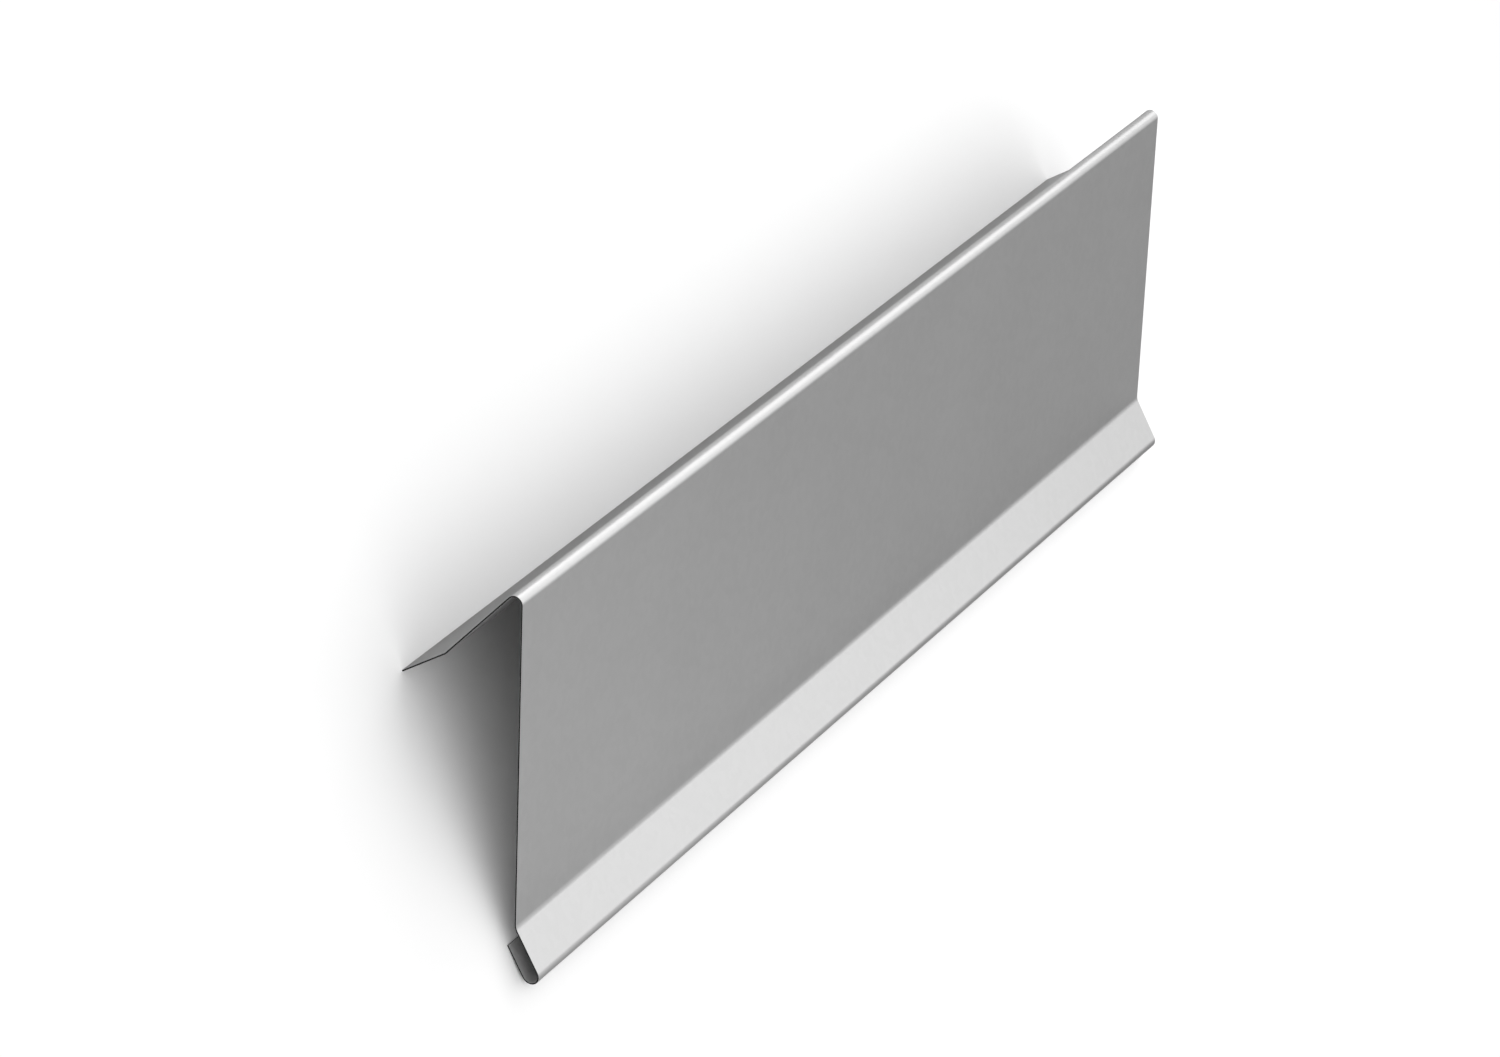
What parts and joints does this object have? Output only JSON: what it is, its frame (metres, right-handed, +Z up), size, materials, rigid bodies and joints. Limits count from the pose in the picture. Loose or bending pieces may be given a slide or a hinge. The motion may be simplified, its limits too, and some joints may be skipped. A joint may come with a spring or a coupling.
{
  "type": "verge flashing",
  "caption": "Folded sheet-metal verge flashing: roof flange with an upturned tip, rounded nose, tall outer face, outward drip kick and an open hem that stiffens the lower edge.",
  "frame": {"origin": "middle of the footprint, on the floor that the strip lies on", "axes": "+Y along the strip's length, +Z up, +X from the roof flange towards the drip edge; the strip lies face up on its roof edge and its hem edge"},
  "size_m": [0.1396, 0.5, 0.0588],
  "materials": {
    "galvanised_sheet": "satin"
  },
  "bodies": {
    "root": {"folded_sheet": "galvanised_sheet"}
  },
  "joints": []
}
